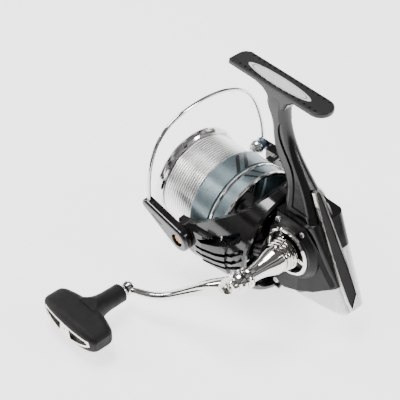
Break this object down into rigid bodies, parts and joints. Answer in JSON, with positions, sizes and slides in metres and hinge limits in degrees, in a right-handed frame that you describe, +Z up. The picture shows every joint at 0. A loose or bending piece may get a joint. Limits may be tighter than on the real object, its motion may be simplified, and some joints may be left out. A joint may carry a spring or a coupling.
{
  "type": "spinning reel",
  "caption": "Spinning reel with a bare ribbed spool, closed bail, folding-style crank with a T-shaped knob on the left, and a straight rod foot.",
  "frame": {"origin": "centre of the foot's top face, where it lies against the rod", "axes": "+X toward the front of the spool along the rod, +Y toward the handle side, +Z up into the rod"},
  "size_m": [0.1489, 0.1772, 0.1429],
  "materials": {
    "satin_black": "gloss black paint over moulded body",
    "cover_grey": "dark grey satin",
    "silver_paint": "bright silver paint",
    "panel_dark": "dark satin",
    "chrome_trim": "polished",
    "plate_white": "white, plain",
    "steel_screw": "bright",
    "brass_gear": "machined",
    "bearing_steel": "ground",
    "zinc_gear": "die-cast, machined teeth",
    "clutch_plastic": "satin",
    "rotor_black": "gloss black",
    "spool_silver": "turned, ribbed",
    "spool_polished": "polished",
    "skirt_blue": "blue-grey anodised with two pairs of black bars",
    "felt": "felt",
    "drag_black": "satin",
    "grip_rubber": "matte",
    "wire_chrome": "polished wire",
    "roller_blue": "anodised"
  },
  "bodies": {
    "base": {"body_housing": "satin_black", "side_cover": "cover_grey", "rear_cover": "silver_paint", "tail_panel": "panel_dark", "tail_trim": "chrome_trim", "foot_plate": "plate_white", "cover_screws": "steel_screw", "crank_ring": "chrome_trim", "crank_bearings": "bearing_steel", "oscillation_post": "steel_screw", "pinion_bearing": "bearing_steel", "roller_clutch": "clutch_plastic", "guide_rods": "bearing_steel", "ar_pin": "steel_screw"},
    "crank": {"drive_gear": "zinc_gear", "crank_pinion": "zinc_gear", "handle_shank": "chrome_trim", "handle_cap": "chrome_trim", "crank_arm": "chrome_trim", "joint_bolt": "steel_screw", "knob_shaft": "bearing_steel"},
    "knob": {"knob_grip": "grip_rubber", "knob_inlay": "chrome_trim", "knob_bearings": "bearing_steel"},
    "oscillator": {"oscillation_gear": "clutch_plastic"},
    "rotor_body": {"rotor": "rotor_black", "rotor_nut": "steel_screw", "pinion": "brass_gear", "bail_screws": "brass_gear"},
    "bail": {"bail_arm": "rotor_black", "roller_arm": "rotor_black", "roller_cone": "spool_polished", "roller_screw": "steel_screw", "bail_wire": "wire_chrome"},
    "roller": {"line_roller": "roller_blue"},
    "shaft": {"main_shaft": "bearing_steel", "spool_sleeve": "clutch_plastic", "slider": "zinc_gear", "metal_washers": "bearing_steel"},
    "spool": {"spool_drum": "spool_silver", "spool_lip": "spool_polished", "spool_skirt": "skirt_blue", "skirt_rings": "spool_polished", "felt_washers": "felt", "drag_retainer": "steel_screw"},
    "drag": {"drag_knob": "drag_black"},
    "reverse_lever": {"ar_lever": "drag_black"}
  },
  "joints": [
    {"name": "handle_spin", "type": "hinge", "parent": "base", "child": "crank", "pos_m": [-0.0284, 0, -0.0924], "axis": [0, 1, 0], "continuous": true},
    {"name": "knob_spin", "type": "hinge", "parent": "crank", "child": "knob", "pos_m": [0.0356, 0.1, -0.1275], "axis": [0, 1, 0], "continuous": true},
    {"name": "oscillation_spin", "type": "hinge", "parent": "base", "child": "oscillator", "pos_m": [-0.0349, -0.01, -0.1122], "axis": [0, 1, 0], "continuous": true},
    {"name": "rotor_spin", "type": "hinge", "parent": "base", "child": "rotor_body", "pos_m": [0, 0, -0.107], "axis": [1, 0, 0], "continuous": true},
    {"name": "bail_flip", "type": "hinge", "parent": "rotor_body", "child": "bail", "pos_m": [0.0336, 0, -0.107], "axis": [0, 0.9962, -0.0872], "range_deg": [0, 110]},
    {"name": "roller_spin", "type": "hinge", "parent": "bail", "child": "roller", "pos_m": [0.0554, 0.00028, -0.10381], "axis": [0, 0.9962, -0.0872], "continuous": true},
    {"name": "shaft_stroke", "type": "slide", "parent": "base", "child": "shaft", "axis": [1, 0, 0], "range_m": [-0.008, 0.008]},
    {"name": "spool_slip", "type": "hinge", "parent": "shaft", "child": "spool", "pos_m": [0.04, 0, -0.107], "axis": [1, 0, 0], "continuous": true},
    {"name": "drag_turn", "type": "hinge", "parent": "shaft", "child": "drag", "pos_m": [0.07, 0, -0.107], "axis": [1, 0, 0], "range_deg": [-360, 360]},
    {"name": "reverse_lever_tilt", "type": "hinge", "parent": "base", "child": "reverse_lever", "pos_m": [-0.017, 0.007, -0.12975], "axis": [1, 0, 0], "range_deg": [-20, 20]}
  ],
  "couplings": [
    {"joint": "oscillation_spin", "follows": "handle_spin", "ratio": -0.86957},
    {"joint": "rotor_spin", "follows": "handle_spin", "ratio": 4.7}
  ]
}
